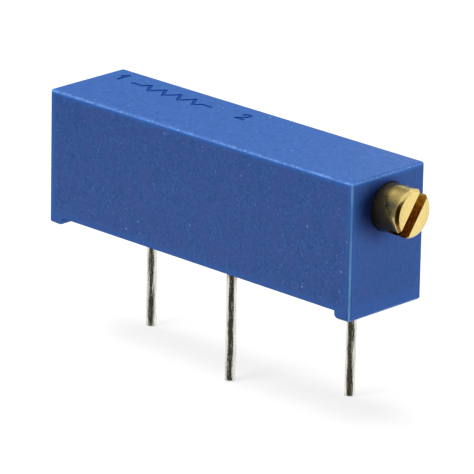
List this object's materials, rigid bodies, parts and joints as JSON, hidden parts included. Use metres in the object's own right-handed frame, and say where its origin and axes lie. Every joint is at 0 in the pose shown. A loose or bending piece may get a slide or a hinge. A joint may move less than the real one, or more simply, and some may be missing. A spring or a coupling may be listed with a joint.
{
  "type": "trimmer potentiometer",
  "caption": "Rectangular multi-turn trimmer potentiometer: blue housing on feet, slotted brass side screw that drives a hidden wiper, and staggered round board terminals.",
  "frame": {"origin": "axis of terminal 1 at the face of the board, which is level with the undersides of the feet", "axes": "+X along the housing from terminal 1 towards the screw head, +Y towards the side nearer terminals 1 and 3, +Z away from the board"},
  "size_m": [0.0206, 0.0048, 0.0117],
  "materials": {
    "housing": "moulded thermoset, satin with faint flow streaks",
    "brass": "turned, grainy faces and darker flanks",
    "tinned_wire": "hot tinned, slightly uneven",
    "solder": "reflowed, satin",
    "silver_film": "printed and fired silver, matt",
    "cermet_film": "printed and fired cermet, matt",
    "alumina": "fine fired ceramic, matt",
    "spring_alloy": "stamped spring alloy, satin",
    "spring_steel": "stamped strip, satin",
    "seal_rubber": "moulded ring, matt",
    "carriage_plastic": "moulded, unpigmented",
    "resin": "poured and cured, wetted edge"
  },
  "bodies": {
    "housing_body": {"housing": "housing", "substrate": "alumina", "resistive_track": "cermet_film", "collector_track": "silver_film", "end_pad_1": "silver_film", "end_pad_3": "silver_film", "terminal_1": "tinned_wire", "terminal_2": "tinned_wire", "terminal_3": "tinned_wire", "solder_joint_1": "solder", "solder_joint_2": "solder", "solder_joint_3": "solder", "sealing_resin": "resin", "shaft_seal": "seal_rubber", "retaining_clip": "spring_steel"},
    "screw_body": {"adjustment_screw": "brass"},
    "carriage_body": {"carriage": "carriage_plastic", "wiper": "spring_alloy"}
  },
  "joints": [
    {"name": "screw_turn", "type": "hinge", "parent": "housing_body", "child": "screw_body", "pos_m": [0.01588, -0.00127, 0.00493], "axis": [1, 0, 0], "range_deg": [-2700, 2700]},
    {"name": "carriage_slide", "type": "slide", "parent": "housing_body", "child": "carriage_body", "axis": [1, 0, 0], "range_m": [-0.00562, 0.00562]}
  ],
  "couplings": [
    {"joint": "screw_turn", "follows": "carriage_slide", "rad_per_m": -8377.6}
  ]
}
